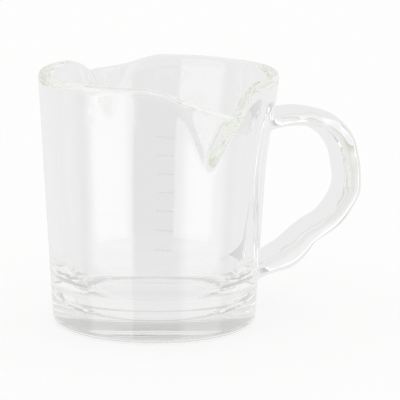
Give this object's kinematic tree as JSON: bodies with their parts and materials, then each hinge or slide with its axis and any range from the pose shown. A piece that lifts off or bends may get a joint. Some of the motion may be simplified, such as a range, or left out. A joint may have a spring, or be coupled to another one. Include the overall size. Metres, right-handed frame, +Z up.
{
  "type": "measuring cup",
  "caption": "Small clear glass measuring cup with a heavy base, a fused strap handle, two opposite pouring spouts and a printed scale.",
  "frame": {"origin": "on the cup's axis, in the plane of the flat ring that the foot stands on", "axes": "+Z up along the axis of the cup; +X towards the handle, whose bow lies in the XZ plane; -Y towards the front spout, +Y towards the smaller rear spout"},
  "size_m": [0.0922, 0.0794, 0.066],
  "materials": {
    "clear_glass": "fire-polished clear soda-lime glass",
    "handle_glass": "hot-worked clear soda-lime glass",
    "scale_enamel": "fired white glass enamel, satin"
  },
  "bodies": {
    "root": {"cup_body": "clear_glass", "handle": "handle_glass", "line_10ml": "scale_enamel", "line_20ml": "scale_enamel", "line_30ml": "scale_enamel", "line_40ml": "scale_enamel", "line_50ml": "scale_enamel", "line_60ml": "scale_enamel", "line_70ml": "scale_enamel"}
  },
  "joints": []
}
